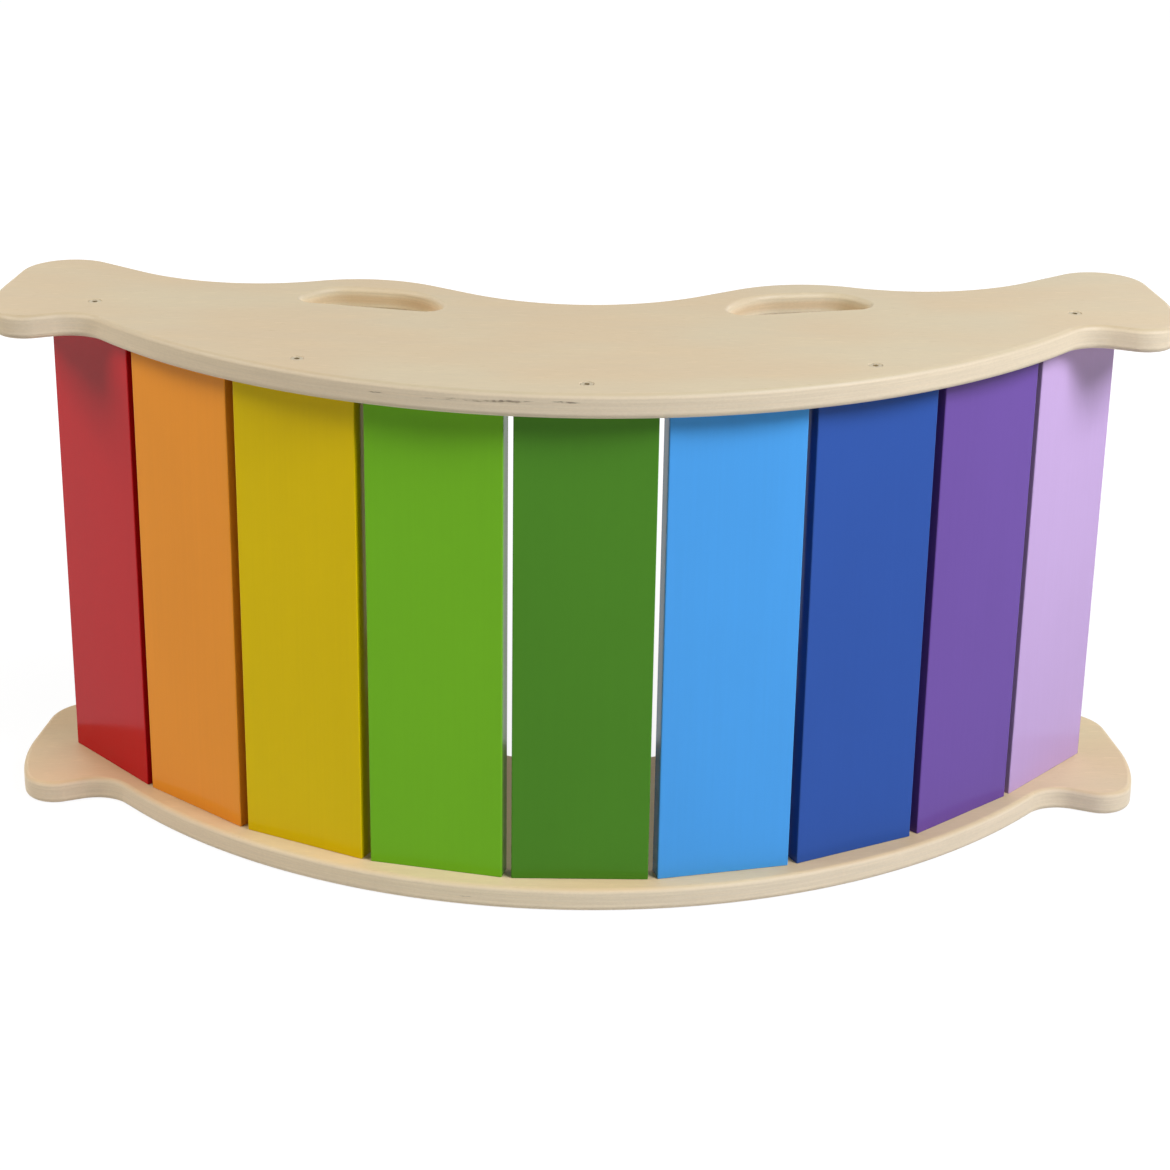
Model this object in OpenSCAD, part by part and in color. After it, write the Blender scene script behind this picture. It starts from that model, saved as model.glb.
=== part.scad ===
// Curvy balance board: painted slats set round a curve between two plywood side panels.
// It stands on its lower side panel, with the hollow of the curve towards +Y.
// Millimetres. The origin is on the floor, under the middle of the board.

/* [Slats] */
// Length of a slat, from one side panel to the other
slat_l = 360; // [280:5:440]
// Width of a slat
slat_w = 100; // [90:1:106]
// Thickness of a slat
slat_t = 15; // [13:0.5:18]
// Radius of a slat's long edges
slat_edge_r = 1; // [0.5:0.5:4]
// Gap between neighbouring slats on the inside of the curve
slat_gap = 3.5; // [2:0.5:8]
// Radius of the circle that the outer faces of the slats touch
curve_r = 450; // [410:5:520]
// Angle from an end slat to its neighbour, flatter than the rest of the curve
end_turn = 7.4; // [4:0.2:13]

/* [Side panels] */
// Thickness of the plywood
panel_t = 18; // [15:0.5:24]
// Radius worked along the edges of a side panel and of its hand holes
panel_edge_r = 4; // [1:0.5:6]
// How far the rocking edge stands out past the slats
rim = 17; // [12:0.5:24]
// Distance of the notch's corner from the middle of the end slat, back along its face
notch_back = 16.5; // [12:0.5:20]
// Rounding of the notch
notch_r = 30; // [20:1:36]
// Distance of the foot's corner from the middle of the end slat, along the board
foot_out = 59; // [54:1:64]
// Distance of the foot's corner below the middle of the end slat
foot_drop = 45; // [40:1:50]
// Rounding of the foot
foot_r = 25; // [18:1:30]
// Distance of the side's bend from the middle of the end slat, along the board
side_out = 74.5; // [70:0.5:79]
// Height of the side's bend above the middle of the end slat
side_rise = 14; // [8:1:22]
// Rounding of the side's bend
side_r = 156; // [110:2:160]
// Distance of the tip's corner from the middle of the end slat, along the board
tip_out = 54; // [48:1:60]
// Height of the tip's corner above the middle of the end slat
tip_rise = 149.5; // [140:0.5:158]
// Rounding of the tip
tip_r = 39; // [30:1:42]
// Distance of the waist's corner from the middle of the end slat, back along the board
waist_in = 92; // [84:1:100]
// Height of the waist's corner above the middle of the end slat
waist_rise = 42; // [32:1:50]
// Rounding of the waist
waist_r = 144; // [100:2:170]
// Height of the bump's corner above the far side of the hand hole
bump_rise = 37; // [33:0.5:44]
// Rounding of the bump
bump_r = 100; // [70:2:120]
// Height of the middle dip's corner above the face of the middle slat
dip_h = 166; // [150:1:180]
// Rounding of the middle dip
dip_r = 156; // [100:2:190]

/* [Hand holes] */
// Distance of a hand hole's middle from the middle of the board
grip_x = 156; // [148:1:164]
// Height of a hand hole's middle above the face of the middle slat
grip_h = 207; // [200:1:214]
// Length of a hand hole's straight side, before rounding
grip_l = 124; // [110:1:134]
// Width of a hand hole, before rounding
grip_w = 48; // [38:1:54]
// Angle of a hand hole's straight side to the length of the board
grip_turn = 12.6; // [6:0.2:18]
// Rounding of the two ends of the straight side
grip_end_r = 12; // [6:0.5:14]
// Rounding of the far corner nearer the tip
grip_outer_r = 30; // [16:1:36]
// Rounding of the far corner nearer the middle
grip_inner_r = 50; // [30:1:54]

/* [Dowels] */
// Diameter of a dowel
dowel_d = 8; // [6:0.5:10]
// Length of a dowel
dowel_l = 30; // [24:1:40]
// Depth of a dowel in the side panel
dowel_sunk = 10; // [8:0.5:12]
// Distance between the two dowels in the end of a slat
dowel_spread = 60; // [40:1:70]
// Chamfer on the ends of a dowel
dowel_chamfer = 1; // [0.5:0.1:1.5]

/* [Screws] */
// Length of a screw
screw_l = 50; // [40:1:70]
// Diameter of a screw over its thread
screw_d = 5; // [4:0.1:6]
// Diameter of the screw's core between the threads
screw_core_d = 3.4; // [2.6:0.1:3.8]
// Length of the thread
thread_l = 30; // [20:1:34]
// Number of turns of the thread
thread_turns = 12; // [8:1:16]
// Diameter of a screw's head
head_d = 9; // [8:0.1:11]
// Height of the straight edge of the head
head_lip = 0.4; // [0.2:0.1:0.8]
// Depth of the head's top below the face of the side panel
head_sunk = 0.4; // [0.2:0.1:2]
// Width of the hexagon socket across its corners
socket_w = 4.4; // [3:0.1:5]
// Depth of the hexagon socket
socket_deep = 2; // [1:0.1:2.5]

/* [Hidden] */

// Radial clearance of every dowel and screw in its hole
fit = 0.1;
// Spare depth past the ends of the dowels and screws
hole_spare = 1;
// How far a cut runs past the face that it opens
overrun = 2;
// Facets of the round holes and turned pieces
$fn = 48;

// Slats count outwards from the middle one, 0, and are negative towards -X
last = 4;
slats = [-last : last];
// Every second slat is screwed as well as dowelled
screwed_slats = [-last : 2 : last];

// Counts of straight steps along each rounded corner
rock_steps = 40;
notch_steps = 8;
foot_steps = 10;
side_steps = 6;
tip_steps = 10;
waist_steps = 11;
bump_steps = 11;
dip_steps = 20;
grip_steps = 8;
edge_steps = 4;

// Share of a straight side that the roundings of its two corners may take
rounded_share = 0.99;
// Corners of a hand hole as shares of its length and width, anticlockwise
grip_shares = [[0, 0], [1, 0], [0.84, 0.85], [0.22, 1]];

birch = "#dcc8a4";
beech = "#d9b98a";
steel = "#a3a6a8";

// Directions and turns in plan
function unit(v) = v / norm(v);
function heading_of(angle) = [cos(angle), sin(angle)];
function inward_of(angle) = [-sin(angle), cos(angle)];
function turned(v, angle) = v[0] * heading_of(angle) + v[1] * inward_of(angle);
function flipped(v) = [-v[0], v[1]];

// The slats: each one starts a gap after the inner corner of the one before it
curve_turn = 2 * atan((slat_w + slat_gap) / 2 / (curve_r - slat_t));
function slat_angle(i) = i < last ? i * curve_turn : (last - 1) * curve_turn + end_turn;
function inner_corner(i, side) =
    side * slat_w / 2 * heading_of(slat_angle(i)) + slat_t * inward_of(slat_angle(i));
function slat_middle(i) = i == 0 ? [0, 0] :
    slat_middle(i - 1) + inner_corner(i - 1, 1) - inner_corner(i, -1)
    + slat_gap * heading_of((slat_angle(i - 1) + slat_angle(i)) / 2);

// Rounded outlines: a corner is [place, radius, steps], and corners run anticlockwise
function corner(corners, i) = corners[(i + len(corners)) % len(corners)];
function side_of(corners, i) = corner(corners, i + 1)[0] - corner(corners, i)[0];
function bend(corners, i) =
    let (before = side_of(corners, i - 1), after = side_of(corners, i))
    atan2(before[0] * after[1] - before[1] * after[0], before * after);
// Length that the rounding of a corner takes from the two sides that meet there
function taken(corners, i) = corner(corners, i)[1] * tan(abs(bend(corners, i)) / 2);
// A rounding is limited by the sides that carry it
function room(corners, i) =
    min(1, rounded_share * norm(side_of(corners, i)) / (taken(corners, i) + taken(corners, i + 1)));
// Points along one rounded corner, each with its outward direction
function arc(corners, i) =
    let (
        along = unit(side_of(corners, i - 1)),
        out = [along[1], -along[0]],
        turn = bend(corners, i),
        spare = min(room(corners, i - 1), room(corners, i)),
        start = corner(corners, i)[0] - taken(corners, i) * spare * along,
        reach = sign(turn) * corner(corners, i)[1] * spare,
        steps = corner(corners, i)[2]
    )
    [for (k = [0 : steps]) let (n = turned(out, turn * k / steps)) [start + reach * (n - out), n]];
function rounded(corners) = [for (i = [0 : len(corners) - 1]) each arc(corners, i)];
function places(outline) = [for (p = outline) p[0]];

// The side panel's outline, from the rocking edge round the right tip to the middle dip and back
end_middle = slat_middle(last);
end_angle = slat_angle(last);
rock_r = curve_r + rim;
// The rocking edge leaves its circle parallel to the end slat, this far out from the slat's face
end_rim = rock_r - [end_middle[0], end_middle[1] - curve_r] * -inward_of(end_angle);
notch = end_middle - notch_back * heading_of(end_angle) - end_rim * inward_of(end_angle);
right_corners = [
    [notch, notch_r, notch_steps],
    [end_middle + [foot_out, -foot_drop], foot_r, foot_steps],
    [end_middle + [side_out, side_rise], side_r, side_steps],
    [end_middle + [tip_out, tip_rise], tip_r, tip_steps],
    [end_middle + [-waist_in, waist_rise], waist_r, waist_steps],
    [[grip_x, grip_h + grip_w / 2 + bump_rise], bump_r, bump_steps]
];
left_corners = [for (k = [len(right_corners) - 1 : -1 : 0])
    let (c = right_corners[k]) [flipped(c[0]), c[1], c[2]]];
panel_corners = [
    [[0, curve_r - rock_r / cos(end_angle)], rock_r, rock_steps],
    each right_corners,
    [[0, dip_h], dip_r, dip_steps],
    each left_corners
];
panel_outline = rounded(panel_corners);
panel_points = len(panel_outline);

// A hand hole's outline on the right of the board
grip_radii = [grip_end_r, grip_end_r, grip_outer_r, grip_inner_r];
grip_corners = [for (k = [0 : len(grip_shares) - 1])
    let (from_middle = [(grip_shares[k][0] - 1 / 2) * grip_l, (grip_shares[k][1] - 1 / 2) * grip_w])
    [[grip_x, grip_h] + turned(from_middle, grip_turn), grip_radii[k], grip_steps]];
grip_outline = rounded(grip_corners);

// Heights, and the middle of the board from front to back
board_h = slat_l + 2 * panel_t;
depths = [for (p = panel_outline) p[0][1]];
depth_middle = (min(depths) + max(depths)) / 2;

// Depths of the blind holes in the ends of a slat
slat_dowel_hole = dowel_l - dowel_sunk + hole_spare;
slat_screw_hole = head_sunk + screw_l - panel_t + hole_spare;

// Rings of a rounded edge as [distance out from the outline, height], from face to face
function edge_rings(side) = [
    for (k = [0 : edge_steps]) let (a = 90 * k / edge_steps)
        [side * panel_edge_r * (1 - sin(a)), panel_edge_r * (1 - cos(a))],
    for (k = [edge_steps : -1 : 0]) let (a = 90 * k / edge_steps)
        [side * panel_edge_r * (1 - sin(a)), panel_t - panel_edge_r * (1 - cos(a))]
];

// Faces that join the rings of a closed outline, and the bottom and top faces that close them
function wall_faces(count, rings) = [for (r = [0 : rings - 2], i = [0 : count - 1])
    let (low = r * count, next = (i + 1) % count)
    [low + i, low + count + i, low + count + next, low + next]];
function cap_faces(caps, count, rings) = [
    each caps,
    for (c = caps) [for (k = [len(c) - 1 : -1 : 0]) (rings - 1) * count + c[k]]
];

// Bottom of the panel: triangles between its rocking edge and its upper edge, paired across the board
function across(j) = (rock_steps / 2 + j + panel_points) % panel_points;
function facing(j) = (rock_steps / 2 + panel_points / 2 - j + panel_points) % panel_points;
rungs = panel_points / 4;
panel_caps = [for (j = [-floor(rungs) : floor(rungs) - 1]) each [
    [across(j), across(j + 1), facing(j + 1)],
    [across(j), facing(j + 1), facing(j)]
]];
grip_caps = [[for (i = [0 : len(grip_outline) - 1]) i]];

// A solid through rings of an outline
module ringed(outline, rings, caps) {
    polyhedron(
        points = [for (r = rings, p = outline) [each (p[0] + r[0] * p[1]), r[1]]],
        faces = concat(
            wall_faces(len(outline), len(rings)),
            cap_faces(caps, len(outline), len(rings))
        )
    );
}

// Places: the whole board, one slat's own frame, and the upper end of the board
module placed() {
    translate([0, -depth_middle, 0]) children();
}
module on_slat(i) {
    middle = slat_middle(abs(i));
    translate(i < 0 ? flipped(middle) : middle)
        rotate(sign(i) * slat_angle(abs(i)))
            translate([0, slat_t / 2, 0])
                children();
}
module at_dowels() {
    for (side = [-1, 1]) translate([side * dowel_spread / 2, 0, 0]) children();
}
module at_top() {
    translate([0, 0, board_h]) mirror([0, 0, 1]) children();
}

// A side panel with its outer face down
module side_panel() {
    rings = edge_rings(1);
    through = [
        [panel_edge_r, -overrun],
        each rings,
        [panel_edge_r, panel_t + overrun]
    ];
    difference() {
        ringed(panel_outline, edge_rings(-1), panel_caps);
        ringed(grip_outline, through, grip_caps);
        mirror([1, 0, 0]) ringed(grip_outline, through, grip_caps);
        for (i = slats) on_slat(i) at_dowels()
            translate([0, 0, panel_t - dowel_sunk - hole_spare])
                cylinder(h = dowel_sunk + hole_spare + overrun, d = dowel_d + 2 * fit);
        for (i = screwed_slats) on_slat(i) panel_screw_hole();
    }
}
// A countersunk hole, open to the outer face
module panel_screw_hole() {
    hole_r = screw_d / 2 + fit;
    face_r = head_d / 2 + head_lip + head_sunk + fit;
    translate([0, 0, -overrun]) cylinder(h = panel_t + 2 * overrun, r = hole_r);
    translate([0, 0, -overrun])
        cylinder(h = overrun + face_r - hole_r, r1 = face_r + overrun, r2 = hole_r);
}

// A slat with its dowel holes, and screw holes in every second one
module slat(i) {
    outline = rounded([for (c = [[-1, -1], [1, -1], [1, 1], [-1, 1]])
        [[c[0] * slat_w / 2, c[1] * slat_t / 2], slat_edge_r, edge_steps]]);
    placed() on_slat(i) difference() {
        translate([0, 0, panel_t]) linear_extrude(slat_l) polygon(places(outline));
        slat_end_holes(i);
        at_top() slat_end_holes(i);
    }
}
module slat_end_holes(i) {
    translate([0, 0, panel_t - overrun]) {
        at_dowels() cylinder(h = slat_dowel_hole + overrun, d = dowel_d + 2 * fit);
        if (i % 2 == 0) cylinder(h = slat_screw_hole + overrun, d = screw_d + 2 * fit);
    }
}

// The four dowels of one slat
module dowels(i) {
    placed() on_slat(i) at_dowels() {
        dowel();
        at_top() dowel();
    }
}
module dowel() {
    dowel_r = dowel_d / 2;
    neck_r = dowel_r - dowel_chamfer;
    translate([0, 0, panel_t - dowel_sunk]) rotate_extrude() polygon([
        [0, 0], [neck_r, 0], [dowel_r, dowel_chamfer],
        [dowel_r, dowel_l - dowel_chamfer], [neck_r, dowel_l], [0, dowel_l]
    ]);
}

// The screws of the lower side panel
module screws() {
    for (i = screwed_slats) on_slat(i) translate([0, 0, head_sunk]) screw();
}
// A countersunk screw with its head at the bottom; rings stand for its thread
module screw() {
    core_r = screw_core_d / 2;
    thread_r = screw_d / 2;
    head_r = head_d / 2;
    pitch = thread_l / thread_turns;
    difference() {
        rotate_extrude() polygon([
            [0, 0], [head_r, 0], [head_r, head_lip], [thread_r, head_lip + head_r - thread_r],
            [thread_r, screw_l - thread_l],
            for (k = [1 : thread_turns - 1]) each [
                [core_r, screw_l - thread_l + (k - 1 / 2) * pitch],
                [thread_r, screw_l - thread_l + k * pitch]
            ],
            [0, screw_l]
        ]);
        translate([0, 0, -overrun]) cylinder(h = socket_deep + overrun, d = socket_w, $fn = 6);
    }
}

module lower_side_panel() color(birch) placed() side_panel();
module upper_side_panel() color(birch) placed() at_top() side_panel();

module slat_red() color("#bd3a40") slat(-4);
module slat_orange() color("#d9822b") slat(-3);
module slat_yellow() color("#c4a600") slat(-2);
module slat_lime() color("#67a425") slat(-1);
module slat_green() color("#49802a") slat(0);
module slat_sky() color("#3f93e0") slat(1);
module slat_blue() color("#2c55a8") slat(2);
module slat_purple() color("#6a45a5") slat(3);
module slat_lilac() color("#c79be6") slat(4);

module dowels_red() color(beech) dowels(-4);
module dowels_orange() color(beech) dowels(-3);
module dowels_yellow() color(beech) dowels(-2);
module dowels_lime() color(beech) dowels(-1);
module dowels_green() color(beech) dowels(0);
module dowels_sky() color(beech) dowels(1);
module dowels_blue() color(beech) dowels(2);
module dowels_purple() color(beech) dowels(3);
module dowels_lilac() color(beech) dowels(4);

module screws_lower() color(steel) placed() screws();
module screws_upper() color(steel) placed() at_top() screws();

lower_side_panel();
upper_side_panel();
slat_red();
slat_orange();
slat_yellow();
slat_lime();
slat_green();
slat_sky();
slat_blue();
slat_purple();
slat_lilac();
dowels_red();
dowels_orange();
dowels_yellow();
dowels_lime();
dowels_green();
dowels_sky();
dowels_blue();
dowels_purple();
dowels_lilac();
screws_lower();
screws_upper();
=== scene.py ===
"""Curvy balance board: painted slats set round a curve between two plywood side panels.

Metres, in the frame of the solid model: the board stands on its lower side panel, +X along the
board, +Y towards the hollow of the curve, +Z up. In plan, sizes are measured from the outer face
of the middle slat, and the finished meshes are shifted to the model's own origin.
"""

from math import atan, atan2, ceil, copysign, cos, pi, radians, sin, tan

import bmesh
import bpy
from mathutils import Matrix, Vector

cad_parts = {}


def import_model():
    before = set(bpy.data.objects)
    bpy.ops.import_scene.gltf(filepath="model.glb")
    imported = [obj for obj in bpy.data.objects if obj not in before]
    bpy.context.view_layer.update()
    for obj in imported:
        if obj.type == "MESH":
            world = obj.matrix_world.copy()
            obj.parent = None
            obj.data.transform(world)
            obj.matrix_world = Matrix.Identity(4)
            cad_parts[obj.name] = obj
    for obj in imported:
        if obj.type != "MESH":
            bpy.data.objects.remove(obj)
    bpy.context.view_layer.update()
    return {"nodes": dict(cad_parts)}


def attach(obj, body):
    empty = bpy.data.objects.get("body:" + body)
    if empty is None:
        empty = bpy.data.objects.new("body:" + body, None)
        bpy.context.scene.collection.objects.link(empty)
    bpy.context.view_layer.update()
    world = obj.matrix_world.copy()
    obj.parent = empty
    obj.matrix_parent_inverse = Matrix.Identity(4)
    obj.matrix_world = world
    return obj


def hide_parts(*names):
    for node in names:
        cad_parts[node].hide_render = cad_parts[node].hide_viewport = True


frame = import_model()

# Slats, numbered from the middle one, from -LAST at the red end to LAST at the lilac end
SLAT_L = 0.360
SLAT_W = 0.100
SLAT_T = 0.015
SLAT_EDGE_R = 0.001
SLAT_END_R = 0.0005
SLAT_GAP = 0.0035
CURVE_R = 0.450
END_TURN = radians(7.4)
LAST = 4
COLOURS = ["red", "orange", "yellow", "lime", "green", "sky", "blue", "purple", "lilac"]

# Side panels: each corner's place is measured from the middle of the end slat
PANEL_T = 0.018
PANEL_EDGE_R = 0.004
RIM = 0.017
NOTCH_BACK = 0.0165
NOTCH_R = 0.030
FOOT_OUT, FOOT_DROP, FOOT_R = 0.059, 0.045, 0.025
SIDE_OUT, SIDE_RISE, SIDE_R = 0.0745, 0.014, 0.156
TIP_OUT, TIP_RISE, TIP_R = 0.054, 0.1495, 0.039
WAIST_IN, WAIST_RISE, WAIST_R = 0.092, 0.042, 0.144
BUMP_RISE, BUMP_R = 0.037, 0.100
DIP_H, DIP_R = 0.166, 0.156

# Hand holes: corners as shares of the hole's length and width
GRIP_X, GRIP_H = 0.156, 0.207
GRIP_L, GRIP_W = 0.124, 0.048
GRIP_TURN = radians(12.6)
GRIP_SHARES = [(0, 0), (1, 0), (0.84, 0.85), (0.22, 1)]
GRIP_RADII = [0.012, 0.012, 0.030, 0.050]

# Holes for the dowels and screws
DOWEL_HOLE_R = 0.0041
DOWEL_SPREAD = 0.060
DOWEL_IN_PANEL = 0.011
DOWEL_IN_SLAT = 0.021
SCREW_HOLE_R = 0.0026
SCREW_IN_SLAT = 0.0334
SCREW_EVERY = 2
COUNTERSINK_R = 0.0054

# Second material of a panel, in its hand holes, with painted light and shade, and of a slat, on
# the sides that face a neighbour, with painted shade; a face counts as a side where at least this
# much of its direction is along the slat's width
GRIP_WALL = 1
SLAT_SHADED_SIDE = 1
SIDE_FACING = 0.9

# Fineness of the meshes
ARC_STEP = 0.003
ARC_TURN = radians(3)
PANEL_EDGE_STEPS = 8
SLAT_END_STEPS = 3
HOLE_STEPS = 40
HOLE_START = 0.5
SHARP_TURN = radians(30)

BOARD_H = SLAT_L + 2 * PANEL_T


# Plan geometry

def turned(v, angle):
    """A plan vector turned anticlockwise."""
    return Matrix.Rotation(angle, 2) @ v


def flipped(v):
    """A plan vector mirrored to the other half of the board."""
    return Vector((-v.x, v.y))


def heading_of(angle):
    """The direction along a slat that is turned by an angle."""
    return Vector((cos(angle), sin(angle)))


def inward_of(angle):
    """The direction through a slat that is turned by an angle, towards the hollow."""
    return Vector((-sin(angle), cos(angle)))


def slat_angle(i):
    """Turn of slat i; the end slats lie flatter than the curve."""
    turn = 2 * atan((SLAT_W + SLAT_GAP) / 2 / (CURVE_R - SLAT_T))
    size = abs(i) * turn if abs(i) < LAST else (LAST - 1) * turn + END_TURN
    return copysign(size, i)


def slat_middle(i):
    """Middle of slat i's outer face. It starts a gap after the inner corner of the one before."""
    if i == 0:
        return Vector((0, 0))
    if i < 0:
        return flipped(slat_middle(-i))
    before, here = slat_angle(i - 1), slat_angle(i)
    corner = SLAT_W / 2 * heading_of(before) + SLAT_T * inward_of(before)
    back_to_middle = SLAT_W / 2 * heading_of(here) - SLAT_T * inward_of(here)
    gap = SLAT_GAP * heading_of((before + here) / 2)
    return slat_middle(i - 1) + corner + gap + back_to_middle


def slat_core(i):
    """Middle of slat i's thickness."""
    return slat_middle(i) + SLAT_T / 2 * inward_of(slat_angle(i))


def rounded(corners):
    """An outline with rounded corners, as (place, outward direction) pairs.

    A corner is (place, radius), and the corners run anticlockwise. A rounding is limited by the
    sides that carry it.
    """
    count = len(corners)
    places = [place for place, _ in corners]
    sides = [places[(i + 1) % count] - places[i] for i in range(count)]
    bends = [atan2(a.x * b.y - a.y * b.x, a.dot(b)) for a, b in zip(sides[-1:] + sides, sides)]
    taken = [radius * tan(abs(bend) / 2) for (_, radius), bend in zip(corners, bends)]
    room = [min(1, sides[i].length / (taken[i] + taken[(i + 1) % count])) for i in range(count)]
    outline = []
    for i, (place, radius) in enumerate(corners):
        along = sides[i - 1].normalized()
        out = Vector((along.y, -along.x))
        share = min(room[i - 1], room[i])
        start = place - taken[i] * share * along
        reach = copysign(radius * share, bends[i])
        steps = ceil(max(abs(bends[i]) / ARC_TURN, abs(bends[i] * reach) / ARC_STEP))
        for k in range(steps + 1):
            normal = turned(out, bends[i] * k / steps)
            outline.append((start + reach * (normal - out), normal))
    return outline


def circle(centre, radius):
    """A round outline.

    It starts part of a step round, because the fill of a flat face can fail where corners of
    neighbouring holes line up.
    """
    turns = [2 * pi * (k + HOLE_START) / HOLE_STEPS for k in range(HOLE_STEPS)]
    normals = [heading_of(turn) for turn in turns]
    return [(centre + radius * normal, normal) for normal in normals]


def panel_outline():
    """The side panel, from its rocking edge round the right tip to the middle dip and back."""
    end, angle = slat_middle(LAST), slat_angle(LAST)
    rock_r = CURVE_R + RIM
    curve_middle = Vector((0, CURVE_R))
    end_rim = rock_r - (end - curve_middle).dot(-inward_of(angle))
    right = [
        (end - NOTCH_BACK * heading_of(angle) - end_rim * inward_of(angle), NOTCH_R),
        (end + Vector((FOOT_OUT, -FOOT_DROP)), FOOT_R),
        (end + Vector((SIDE_OUT, SIDE_RISE)), SIDE_R),
        (end + Vector((TIP_OUT, TIP_RISE)), TIP_R),
        (end + Vector((-WAIST_IN, WAIST_RISE)), WAIST_R),
        (Vector((GRIP_X, GRIP_H + GRIP_W / 2 + BUMP_RISE)), BUMP_R),
    ]
    left = [(flipped(place), radius) for place, radius in reversed(right)]
    rock = (curve_middle - Vector((0, rock_r / cos(angle))), rock_r)
    dip = (Vector((0, DIP_H)), DIP_R)
    return rounded([rock, *right, dip, *left])


def grip_outlines():
    """The two hand holes of a side panel."""
    corners = []
    for (along, across), radius in zip(GRIP_SHARES, GRIP_RADII):
        from_middle = Vector(((along - 0.5) * GRIP_L, (across - 0.5) * GRIP_W))
        corners.append((Vector((GRIP_X, GRIP_H)) + turned(from_middle, GRIP_TURN), radius))
    right = rounded(corners)
    left = [(flipped(place), flipped(normal)) for place, normal in right]
    return [right, left]


def edge_profile(radius, height, steps):
    """A rounded edge as (inset, height) pairs, from the bottom face to the top face."""
    turns = [pi / 2 * k / steps for k in range(steps + 1)]
    low = [(radius * (1 - sin(a)), radius * (1 - cos(a))) for a in turns]
    return low + [(inset, height - z) for inset, z in reversed(low)]


# Mesh building

def ring(bm, outline, out, z):
    """A closed loop of vertices: an outline moved outwards by a distance, at a height."""
    return [bm.verts.new((*(place + out * normal), z)) for place, normal in outline]


def skin(bm, loops):
    """Faces that join loops of equally many vertices."""
    for low, high in zip(loops, loops[1:]):
        for i in range(len(low)):
            bm.faces.new((low[i - 1], low[i], high[i], high[i - 1]))


def cap(bm, loops):
    """A flat face with holes: the space inside the first loop and outside the others."""
    edges = [bm.edges.get((loop[i - 1], loop[i])) for loop in loops for i in range(len(loop))]
    bmesh.ops.triangle_fill(bm, edges=edges, use_beauty=True)


def wall(bm, outline, stages):
    """A wall along an outline through (move outwards, height) stages; returns its loops."""
    loops = [ring(bm, outline, out, z) for out, z in stages]
    skin(bm, loops)
    return loops


def blind_hole(bm, outline, mouth, bottom):
    """A hole with a flat bottom; returns the loop at its mouth."""
    loops = wall(bm, outline, [(0, mouth), (0, bottom)])
    bm.faces.new(loops[-1])
    return loops[0]


def piece_from(bm, name, matrix, node):
    """A finished piece of the board that stands for one solid of the model."""
    bm.transform(matrix)
    bmesh.ops.recalc_face_normals(bm, faces=bm.faces)
    # A mirrored piece can still be inside out here
    if bm.calc_volume(signed=True) < 0:
        bmesh.ops.reverse_faces(bm, faces=bm.faces)
    bm.normal_update()
    for face in bm.faces:
        face.smooth = True
    for edge in bm.edges:
        edge.smooth = edge.calc_face_angle(0) < SHARP_TURN
    mesh = bpy.data.meshes.new(name)
    bm.to_mesh(mesh)
    bm.free()
    piece = bpy.data.objects.new(name, mesh)
    bpy.context.scene.collection.objects.link(piece)
    flat = piece.modifiers.new("flat_faces", "WEIGHTED_NORMAL")
    flat.keep_sharp = True
    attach(piece, "root")
    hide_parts(node)
    return piece


# Pieces of the board

def dowel_places(i):
    """Plan places of the two dowels in the end of slat i."""
    aside = DOWEL_SPREAD / 2 * heading_of(slat_angle(i))
    return [slat_core(i) - aside, slat_core(i) + aside]


def side_panel(name, node, matrix, outline):
    """A side panel, built with its outer face at the bottom and then placed."""
    bm = bmesh.new()
    edge = edge_profile(PANEL_EDGE_R, PANEL_T, PANEL_EDGE_STEPS)
    rim = wall(bm, outline, [(-inset, z) for inset, z in edge])
    outer, inner = [rim[0]], [rim[-1]]
    for grip in grip_outlines():
        before = len(bm.faces)
        loops = wall(bm, grip, edge)
        bm.faces.ensure_lookup_table()
        for face in bm.faces[before:]:
            face.material_index = GRIP_WALL
        outer.append(loops[0])
        inner.append(loops[-1])
    widening = COUNTERSINK_R - SCREW_HOLE_R
    for i in range(-LAST, LAST + 1, SCREW_EVERY):
        stages = [(widening, 0), (0, widening), (0, PANEL_T)]
        loops = wall(bm, circle(slat_core(i), SCREW_HOLE_R), stages)
        outer.append(loops[0])
        inner.append(loops[-1])
    for i in range(-LAST, LAST + 1):
        for place in dowel_places(i):
            bottom = PANEL_T - DOWEL_IN_PANEL
            inner.append(blind_hole(bm, circle(place, DOWEL_HOLE_R), PANEL_T, bottom))
    cap(bm, outer)
    cap(bm, inner)
    return piece_from(bm, name, matrix, node)


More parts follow.
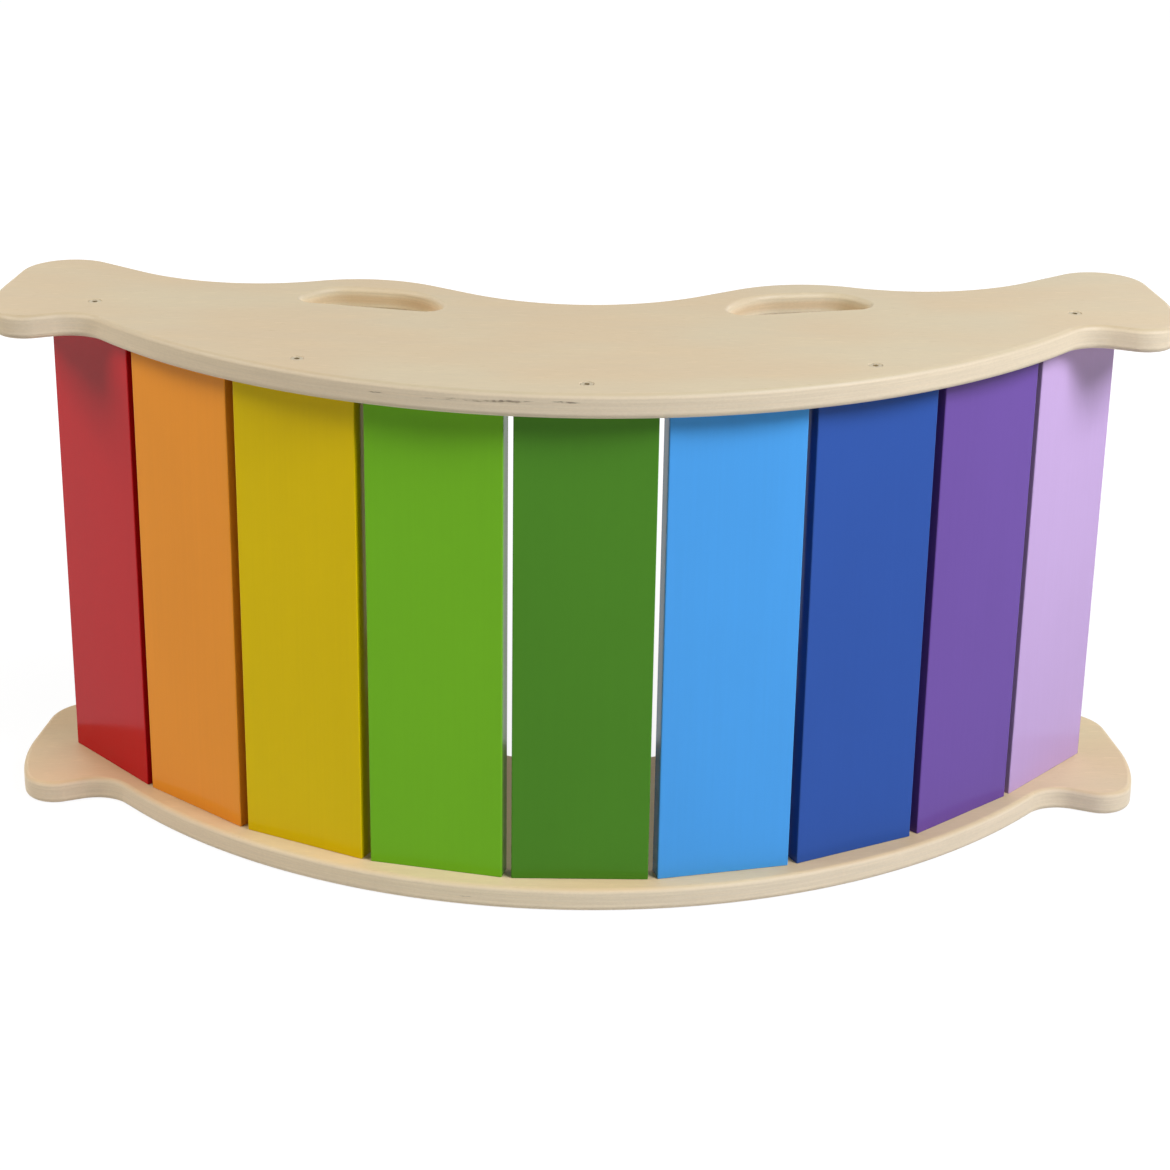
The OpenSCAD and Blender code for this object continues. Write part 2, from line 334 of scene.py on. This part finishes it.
def slat(name, node, i, matrix):
    """Slat i with rounded long edges, eased ends, and the holes for its dowels and screws."""
    bm = bmesh.new()
    corners = []
    for along, across in [(-1, -1), (1, -1), (1, 1), (-1, 1)]:
        corners.append((Vector((along * SLAT_W / 2, across * SLAT_T / 2)), SLAT_EDGE_R))
    ends = edge_profile(SLAT_END_R, SLAT_L, SLAT_END_STEPS)
    loops = wall(bm, rounded(corners), [(-inset, z) for inset, z in ends])
    bmesh.ops.recalc_face_normals(bm, faces=bm.faces)
    # Sides that face a neighbour take the second material, the paint with painted shade
    for face in bm.faces:
        towards_end = face.normal.x * i > 0 and abs(i) == LAST
        if abs(face.normal.x) > SIDE_FACING and not towards_end:
            face.material_index = SLAT_SHADED_SIDE
    for mouth, way, loop in [(0, 1, loops[0]), (SLAT_L, -1, loops[-1])]:
        mouths = [loop]
        for aside in (-DOWEL_SPREAD / 2, DOWEL_SPREAD / 2):
            dowel_hole = circle(Vector((aside, 0)), DOWEL_HOLE_R)
            mouths.append(blind_hole(bm, dowel_hole, mouth, mouth + way * DOWEL_IN_SLAT))
        if i % SCREW_EVERY == 0:
            screw_hole = circle(Vector((0, 0)), SCREW_HOLE_R)
            mouths.append(blind_hole(bm, screw_hole, mouth, mouth + way * SCREW_IN_SLAT))
        cap(bm, mouths)
    middle = slat_core(i)
    place = Matrix.Translation((middle.x, middle.y, PANEL_T))
    own = place @ Matrix.Rotation(slat_angle(i), 4, "Z")
    return piece_from(bm, name, matrix @ own, node)


# Materials

class Nodes:
    """A node tree in the making."""

    def __init__(self, tree):
        self.tree = tree

    def set(self, socket, value):
        """Gives a socket a value, or joins another socket to it."""
        if isinstance(value, bpy.types.NodeSocket):
            self.tree.links.new(value, socket)
        else:
            socket.default_value = value

    def add(self, kind, inputs=None, **settings):
        """A node with its settings and its inputs."""
        node = self.tree.nodes.new(kind)
        for key, value in settings.items():
            setattr(node, key, value)
        for key, value in (inputs or {}).items():
            self.set(node.inputs[key], value)
        return node

    def math(self, operation, *values):
        """The result of a calculation on one or two values."""
        return self.add("ShaderNodeMath", dict(enumerate(values)), operation=operation).outputs[0]

    def seen_directly(self):
        """1 for the camera, and for reflections and glass that show the background."""
        path = self.add("ShaderNodeLightPath").outputs
        mirrored = self.math("MAXIMUM", path["Is Glossy Ray"], path["Is Transmission Ray"])
        return self.math("MAXIMUM", path["Is Camera Ray"], mirrored)


class Shader(Nodes):
    """A material in the making: adds nodes and joins them to its surface."""

    def __init__(self, name):
        self.material = bpy.data.materials.new(name)
        self.material.use_nodes = True
        super().__init__(self.material.node_tree)
        self.surface = self.tree.nodes["Principled BSDF"]
        self.place = self.add("ShaderNodeTexCoord").outputs["Object"]

    def finish(self, **inputs):
        """Sets the surface's own sockets; a name's underscores stand for spaces."""
        for key, value in inputs.items():
            self.set(self.surface.inputs[key.replace("_", " ")], value)
        return self.material

    def parts_of(self, vector):
        """The X, Y and Z of a vector."""
        return self.add("ShaderNodeSeparateXYZ", {0: vector}).outputs

    def stretched(self, scale):
        """The place on the object with each axis multiplied by its own scale."""
        inputs = {0: self.place, 1: scale}
        return self.add("ShaderNodeVectorMath", inputs, operation="MULTIPLY").outputs[0]

    def noise(self, scale, detail=2.0, roughness=0.5):
        """Noise from 0 to 1, with a scale per metre on each axis."""
        inputs = {"Vector": self.stretched(scale), "Scale": 1.0}
        inputs.update({"Detail": detail, "Roughness": roughness})
        return self.add("ShaderNodeTexNoise", inputs).outputs["Fac"]

    def rise(self, value, low, high, to_low=0.0, to_high=1.0):
        """A smooth step of a value between two levels."""
        inputs = {"Value": value, 1: low, 2: high, 3: to_low, 4: to_high}
        return self.add("ShaderNodeMapRange", inputs, interpolation_type="SMOOTHSTEP").outputs[0]

    def window(self, value, rise_from, rise_to, fall_from, fall_to):
        """1 where a value lies between two levels, with smooth sides."""
        risen = self.rise(value, rise_from, rise_to)
        return self.math("SUBTRACT", risen, self.rise(value, fall_from, fall_to))

    def mix(self, share, first, second):
        """A colour between two colours."""
        node = self.add("ShaderNodeMix", {0: share, 6: first, 7: second}, data_type="RGBA")
        return node.outputs[2]

    def shade(self, colour, level):
        """A colour multiplied by a level or by another colour."""
        inputs = {0: 1.0, 6: colour, 7: level}
        node = self.add("ShaderNodeMix", inputs, data_type="RGBA", blend_type="MULTIPLY")
        return node.outputs[2]

    def bump(self, height, distance, strength):
        """A surface direction that follows a height."""
        inputs = {"Height": height, "Distance": distance, "Strength": strength}
        return self.add("ShaderNodeBump", inputs).outputs[0]


def linear(red, green, blue):
    """A colour written in sRGB bytes, as the linear colour that a shader takes."""
    levels = [c / 255 for c in (red, green, blue)]
    curve = [c / 12.92 if c <= 0.04045 else ((c + 0.055) / 1.055) ** 2.4 for c in levels]
    return (*curve, 1.0)


def toned(colour, tone):
    """A linear colour made darker or lighter."""
    return (*(tone * c for c in colour[:3]), 1.0)


def grey(level):
    """A linear grey."""
    return (level, level, level, 1.0)


# In the values below a pattern is noise: its scale per metre along X, Y and Z, its detail and its
# roughness. A rise is the two levels between which a value steps, and what it steps from and to.
# A bump is its distance and its strength.

# Birch plywood: the veneer of the faces
# The veneer on each sheet's faces, plain and warm
SHEET_VENEERS = {
    "lower": ((210, 188, 149), (211, 184, 144)),
    "upper": ((201, 185, 153), (202, 181, 147)),
}
FLECK = (169, 141, 105)
BLOTCH_PATTERN = (7.0, 12.0, 9.0), 1.0
FIGURE_PATTERN = (9.0, 70.0, 70.0), 3.0, 0.6
FIBRE_PATTERN = (90.0, 1100.0, 1100.0), 2.0
DASH_PATTERN = (75.0, 420.0, 420.0), 1.0
FLECK_PATTERN = (130.0, 900.0, 900.0), 1.0
BLOTCH_RISE = 0.35, 0.65
FIGURE_RISE = 0.2, 0.8, 0.965, 1.025
FIBRE_RISE = 0.2, 0.8, 0.97, 1.02
DASH_RISE = 0.62, 0.74
DASH_TONE_RISE = 0.0, 1.0, 1.0, 1.05
FLECK_RISE = 0.68, 0.80
FLECK_SHARE = 0.3

# The plies of the edges. Their colours: along the grain, and across it
PLIES = 9
EDGE_GRAINS = (230, 212, 182), (227, 208, 177)
# The plies of the hand holes are paler: painted light on the hole walls
GRIP_LIT_GRAINS = (245, 226, 190), (243, 222, 184)
PORES_PATTERN = (420.0, 420.0, 900.0), 2.0
ALONG_PATTERN = (22.0, 22.0, 600.0), 3.0
OWN_RISE = 0.0, 1.0, 0.985, 1.015
PORES_RISE = 0.25, 0.75, 0.97, 1.02
ALONG_RISE = 0.25, 0.75, 0.95, 1.03
# Heights in a sheet between which its plies show, with soft ends: on the outer edge, in the holes
EDGE_PLIES = 0.0001, 0.0005, 0.0150, 0.0175
GRIP_PLIES = 0.0001, 0.0005, 0.0128, 0.0185
# Painted shade in a hand hole: its plies darken from the first depth to the second
GRIP_SHADE_DEPTHS = 0.003, 0.009
GRIP_SHADE_TONE = (0.93, 0.83, 0.72, 1.0)

# Glue lines between the plies, where the grain lets them show
GLUE = (160, 134, 106)
SEAM_RISE = 0.40, 0.48
SEAM_SHOWN_RISE = 0.4, 0.6
SEAM_SHARE = 0.10

# Gaps in the core, broken up by a finer pattern
CORE_GAP = (98, 82, 64)
GAP_PATTERN = (36.0, 36.0, 330.0), 4.0
GAP_RISE = 0.72, 0.86
BROKEN_PATTERN = (260.0, 260.0, 700.0), 2.0
BROKEN_RISE = 0.3, 0.6, 0.2, 0.75
# Where the upper sheet's core is poor: along the board, up from the sheet's bottom face, and from
# the rocking edge as far back as this; and how much it adds to the gaps
POOR_ALONG = -0.17, -0.13, -0.01, 0.01
POOR_UP = 0.0090, 0.0102, 0.0124, 0.0136
POOR_BACK_RISE = -0.10, -0.08, 1.0, 0.0
POOR_MORE = 0.22

# Painted shade: the upper sheet, at the top of the board, is made a little darker than the lower
# one
SHEET_SHADE_TONES = {"lower": 1.0, "upper": 0.9}
LACQUER_ROUGHNESS_RISE = 0.2, 0.8, 0.45, 0.55
LACQUER_SPECULAR = 0.35
WOOD_BUMP = 0.0001, 0.3


def plywood(name, bottom, sheet, grains, plies, poor_core=False, shade_tone=None):
    """Birch plywood with a matt lacquer: veneer on the faces, plies and their grain on edges."""
    s = Shader(name)

    # Every colour of a sheet takes the sheet's tone, which on the upper sheet is painted shade
    def sheet_shaded(colour):
        return toned(linear(*colour), SHEET_SHADE_TONES[sheet])

    normal = s.parts_of(s.add("ShaderNodeNewGeometry").outputs["Normal"])
    nx2, ny2 = (s.math("MULTIPLY", normal[axis], normal[axis]) for axis in "XY")
    place = s.parts_of(s.place)
    height = s.math("SUBTRACT", place["Z"], bottom)

    blotch = s.noise(*BLOTCH_PATTERN)
    figure = s.noise(*FIGURE_PATTERN)
    fibre = s.noise(*FIBRE_PATTERN)
    dash = s.rise(s.noise(*DASH_PATTERN), *DASH_RISE)
    fleck = s.rise(s.noise(*FLECK_PATTERN), *FLECK_RISE)
    veneers = [sheet_shaded(colour) for colour in SHEET_VENEERS[sheet]]
    veneer = s.mix(s.rise(blotch, *BLOTCH_RISE), *veneers)
    veneer = s.shade(veneer, s.rise(figure, *FIGURE_RISE))
    veneer = s.shade(veneer, s.rise(fibre, *FIBRE_RISE))
    veneer = s.shade(veneer, s.rise(dash, *DASH_TONE_RISE))
    veneer = s.mix(s.math("MULTIPLY", fleck, FLECK_SHARE), veneer, sheet_shaded(FLECK))

    layer = s.math("MULTIPLY", height, PLIES / PANEL_T)
    ply = s.math("FLOOR", layer)
    crossed = s.math("MODULO", ply, 2.0)
    ends = {0: crossed, 2: nx2, 3: ny2}
    end_seen = s.add("ShaderNodeMix", ends, data_type="FLOAT").outputs[0]
    own = s.add("ShaderNodeTexWhiteNoise", {"W": ply}, noise_dimensions="1D").outputs[0]
    pores = s.noise(*PORES_PATTERN)
    along = s.noise(*ALONG_PATTERN)
    core = s.mix(end_seen, *[sheet_shaded(grain) for grain in grains])
    core = s.shade(core, s.rise(own, *OWN_RISE))
    core = s.shade(core, s.rise(pores, *PORES_RISE))
    core = s.shade(core, s.rise(along, *ALONG_RISE))
    seam = s.math("ABSOLUTE", s.math("SUBTRACT", s.math("FRACT", layer), 0.5))
    seam = s.math("MULTIPLY", s.rise(seam, *SEAM_RISE), s.rise(along, *SEAM_SHOWN_RISE))
    core = s.mix(s.math("MULTIPLY", seam, SEAM_SHARE), core, sheet_shaded(GLUE))

    gap = s.noise(*GAP_PATTERN)
    if poor_core:
        poor = s.math("MULTIPLY", s.window(place["X"], *POOR_ALONG), s.window(height, *POOR_UP))
        poor = s.math("MULTIPLY", poor, s.rise(place["Y"], *POOR_BACK_RISE))
        gap = s.math("ADD", gap, s.math("MULTIPLY", poor, POOR_MORE))
    broken = s.rise(s.noise(*BROKEN_PATTERN), *BROKEN_RISE)
    gap = s.math("MULTIPLY", s.rise(gap, *GAP_RISE), broken)
    core = s.mix(gap, core, sheet_shaded(CORE_GAP))

    # Painted shade in the hand holes: the plies darken towards the middle of the sheet
    if shade_tone:
        depth = s.math("MINIMUM", height, s.math("SUBTRACT", PANEL_T, height))
        core = s.mix(s.rise(depth, *GRIP_SHADE_DEPTHS), core, s.shade(core, shade_tone))
    inside = s.window(height, *plies)
    relief = s.math("ADD", fibre, s.math("MULTIPLY", pores, inside))
    return s.finish(
        Base_Color=s.mix(inside, veneer, core),
        Roughness=s.rise(figure, *LACQUER_ROUGHNESS_RISE),
        Specular_IOR_Level=LACQUER_SPECULAR,
        Normal=s.bump(relief, *WOOD_BUMP),
    )


PAINTS = {
    "red": linear(195, 10, 20),
    "orange": linear(245, 155, 43),
    "yellow": linear(229, 198, 0),
    "lime": linear(117, 185, 35),
    "green": linear(77, 134, 36),
    "sky": linear(77, 161, 231),
    "blue": linear(47, 83, 159),
    "purple": linear(106, 74, 152),
    "lilac": linear(193, 161, 207),
}
# Painted shade: the paint is darker on the sides that face a neighbouring slat
SIDE_PAINTED_SHADE = 0.7
PAINT_GRAIN_PATTERN = (420.0, 420.0, 9.0), 3.0
PEEL_PATTERN = (520.0, 520.0, 520.0), 1.0
CLOUD_PATTERN = (11.0, 11.0, 5.0), 2.0
PAINT_GRAIN_RISE = 0.25, 0.75, 0.99, 1.008
CLOUD_RISE = 0.3, 0.7, 0.98, 1.015
PEEL_HEIGHT = 0.6
PAINT_ROUGHNESS_RISE = 0.25, 0.75, 0.14, 0.18
PAINT_SPECULAR = 0.22
SHEEN_TINT = 0.7
PAINT_BUMP = 0.00001, 0.4


def paint(name, colour, tone=1.0):
    """Satin paint on a sanded slat: faint grain under it, a little orange peel, even colour; a
    tone below 1 is painted shade.
    """
    s = Shader(name)
    colour = toned(colour, tone)
    strongest = max(colour[:3])
    tint = (*(1 - SHEEN_TINT + SHEEN_TINT * c / strongest for c in colour[:3]), 1.0)
    grain = s.noise(*PAINT_GRAIN_PATTERN)
    peel = s.noise(*PEEL_PATTERN)
    even = s.rise(s.noise(*CLOUD_PATTERN), *CLOUD_RISE)
    relief = s.math("ADD", grain, s.math("MULTIPLY", peel, PEEL_HEIGHT))
    return s.finish(
        Base_Color=s.shade(s.shade(colour, even), s.rise(grain, *PAINT_GRAIN_RISE)),
        Roughness=s.rise(peel, *PAINT_ROUGHNESS_RISE),
        Specular_IOR_Level=PAINT_SPECULAR,
        Specular_Tint=tint,
        Normal=s.bump(relief, *PAINT_BUMP),
    )


STEEL_DULL = (172, 160, 134)
STEEL_BRIGHT = (204, 191, 164)
STEEL_PATTERN = (900.0, 900.0, 900.0), 3.0
STEEL_ROUGHNESS_RISE = 0.3, 0.7, 0.32, 0.5
STEEL_BUMP = 0.00005, 0.4


def screw_steel(name):
    """Zinc-plated steel, a little dull and uneven."""
    s = Shader(name)
    spots = s.noise(*STEEL_PATTERN)
    return s.finish(
        Base_Color=s.mix(spots, linear(*STEEL_DULL), linear(*STEEL_BRIGHT)),
        Metallic=1.0,
        Roughness=s.rise(spots, *STEEL_ROUGHNESS_RISE),
        Normal=s.bump(spots, *STEEL_BUMP),
    )


BEECH_DARK = (206, 168, 124)
BEECH_PALE = (226, 194, 152)
BEECH_FLECK = (160, 116, 76)
BEECH_PATTERN = (900.0, 900.0, 40.0), 3.0
BEECH_FLECK_PATTERN = (1500.0, 1500.0, 220.0), 1.0
BEECH_FLECK_RISE = 0.62, 0.72
BEECH_FLECK_SHARE = 0.5
BEECH_ROUGHNESS_RISE = 0.2, 0.8, 0.6, 0.75
BEECH_BUMP = 0.0001, 0.5


def dowel_wood(name):
    """Bare beech with its grain along the dowel."""
    s = Shader(name)
    grain = s.noise(*BEECH_PATTERN)
    fleck = s.rise(s.noise(*BEECH_FLECK_PATTERN), *BEECH_FLECK_RISE)
    wood = s.mix(grain, linear(*BEECH_DARK), linear(*BEECH_PALE))
    flecked = s.math("MULTIPLY", fleck, BEECH_FLECK_SHARE)
    return s.finish(
        Base_Color=s.mix(flecked, wood, linear(*BEECH_FLECK)),
        Roughness=s.rise(grain, *BEECH_ROUGHNESS_RISE),
        Normal=s.bump(grain, *BEECH_BUMP),
    )


# Stage: floor, light and camera

FLOOR_SIZE = 40.0
# The floor as it is seen: the share of light and shadow that it takes up, and its own glow, which
# rises with the distance from the board
FLOOR_LOOK = 0.14
GLOW_RISE = 0.5, 1.1, 0.9, 1.0
# The floor as it lights the board
FLOOR_BOUNCE = 0.65
DOME = 0.03


def floor():
    """A white floor that keeps the board's shadow."""
    mesh = bpy.data.meshes.new("floor")
    half = FLOOR_SIZE / 2
    corners = [(-half, -half, 0), (half, -half, 0), (half, half, 0), (-half, half, 0)]
    mesh.from_pydata(corners, [], [(0, 1, 2, 3)])
    plane = bpy.data.objects.new("floor", mesh)
    bpy.context.scene.collection.objects.link(plane)
    s = Shader("floor_white")
    bounce = s.add("ShaderNodeBsdfDiffuse", {"Color": grey(FLOOR_BOUNCE)})
    shadowed = s.add("ShaderNodeBsdfDiffuse", {"Color": grey(FLOOR_LOOK)})
    away = s.add("ShaderNodeVectorMath", {0: s.place}, operation="LENGTH").outputs["Value"]
    glow = s.add("ShaderNodeEmission", {"Strength": s.rise(away, *GLOW_RISE)})
    look = s.add("ShaderNodeAddShader", {0: shadowed.outputs[0], 1: glow.outputs[0]})
    inputs = {0: s.seen_directly(), 1: bounce.outputs[0], 2: look.outputs[0]}
    both = s.add("ShaderNodeMixShader", inputs)
    s.set(s.tree.nodes["Material Output"].inputs["Surface"], both.outputs[0])
    s.tree.nodes.remove(s.surface)
    mesh.materials.append(s.material)


def world():
    """White where it is seen, and a soft even light elsewhere."""
    made = bpy.data.worlds.new("studio")
    bpy.context.scene.world = made
    made.use_nodes = True
    nodes = Nodes(made.node_tree)
    inputs = {"Value": nodes.seen_directly(), "To Min": DOME}
    level = nodes.add("ShaderNodeMapRange", inputs)
    background = nodes.tree.nodes["Background"]
    nodes.set(background.inputs["Color"], grey(1.0))
    nodes.set(background.inputs["Strength"], level.outputs[0])


LIGHT_AIM = Vector((0.0, 0.0, 0.2))
LIGHT_AWAY = 2.6
LIGHT_SIZE = 1.0
COOL = (0.96, 1.0, 1.09)
WARM = (1.04, 1.0, 0.94)
NEUTRAL = (1.0, 1.0, 1.0)
# Each soft box: its degrees to the right of the camera's side, its degrees up, watts and tint
LIGHTS = {
    "right_box": (54, 42, 64.0, COOL),
    "left_box": (-81, 41, 36.0, WARM),
    "front_box": (25, 58, 5.0, NEUTRAL),
    "back_right_box": (140, 25, 12.0, NEUTRAL),
    "back_left_box": (-140, 25, 9.0, NEUTRAL),
}


def light(name, turn, rise, watts, colour):
    """A square soft box that faces the board."""
    lamp = bpy.data.lights.new(name, "AREA")
    lamp.size = LIGHT_SIZE
    lamp.color = colour
    lamp.energy = watts
    turn, rise = radians(turn), radians(rise)
    away = Vector((sin(turn) * cos(rise), -cos(turn) * cos(rise), sin(rise)))
    box = bpy.data.objects.new(name, lamp)
    box.location = LIGHT_AIM + LIGHT_AWAY * away
    box.rotation_euler = away.to_track_quat("Z", "Y").to_euler()
    bpy.context.scene.collection.objects.link(box)


CAMERA_AT = (-0.018231, -1.932340, 0.990832)
CAMERA_YAW = radians(0.60477)
CAMERA_PITCH = radians(22.46655)
CAMERA_ROLL = radians(0.88662)
CAMERA_LENS = 85.31


def camera():
    """The photograph's view."""
    made = bpy.data.cameras.new("camera")
    made.lens = CAMERA_LENS
    holder = bpy.data.objects.new("camera", made)
    heading = Matrix.Rotation(-CAMERA_YAW, 4, "Z")
    tilt = Matrix.Rotation(pi / 2 - CAMERA_PITCH, 4, "X")
    roll = Matrix.Rotation(CAMERA_ROLL, 4, "Z")
    holder.matrix_world = Matrix.Translation(CAMERA_AT) @ heading @ tilt @ roll
    bpy.context.scene.collection.objects.link(holder)
    bpy.context.scene.camera = holder


# The board

def board():
    """All pieces, in the frame of the solid model."""
    outline = panel_outline()
    depths = [place.y for place, _ in outline]
    to_model = Matrix.Translation((0, -(min(depths) + max(depths)) / 2, 0))
    turned_over = Matrix.Translation((0, 0, BOARD_H)) @ Matrix.Diagonal((1, 1, -1, 1))
    lower = side_panel("panel_lower", "lower_side_panel", to_model, outline)
    upper = side_panel("panel_upper", "upper_side_panel", turned_over @ to_model, outline)
    for place, piece, bottom in [("lower", lower, 0.0), ("upper", upper, BOARD_H - PANEL_T)]:
        edge = plywood("birch_" + place, bottom, place, EDGE_GRAINS, EDGE_PLIES,
                       poor_core=place == "upper")
        # The hand holes: painted light in their paler plies, and painted shade deep inside
        grips = plywood("birch_grips_lit_shaded_" + place, bottom, place, GRIP_LIT_GRAINS, GRIP_PLIES,
                        shade_tone=GRIP_SHADE_TONE)
        piece.data.materials.append(edge)
        piece.data.materials.append(grips)
    for i, colour in enumerate(COLOURS, -LAST):
        piece = slat("painted_" + colour, "slat_" + colour, i, to_model)
        piece.data.materials.append(paint("paint_" + colour, PAINTS[colour]))
        # The sides that face a neighbour: the same paint, darkened as painted shade
        piece.data.materials.append(paint("paint_shaded_sides_" + colour, PAINTS[colour], SIDE_PAINTED_SHADE))
    steel, beech = screw_steel("zinc_steel"), dowel_wood("beech")
    for name, node in frame["nodes"].items():
        finish = {"screws": steel, "dowels": beech}.get(name.split("_")[0])
        if finish:
            node.data.materials.clear()
            node.data.materials.append(finish)


board()
floor()
world()
for name, setting in LIGHTS.items():
    light(name, *setting)
camera()
bpy.context.scene.view_settings.view_transform = "Standard"

bpy.context.view_layer.update()
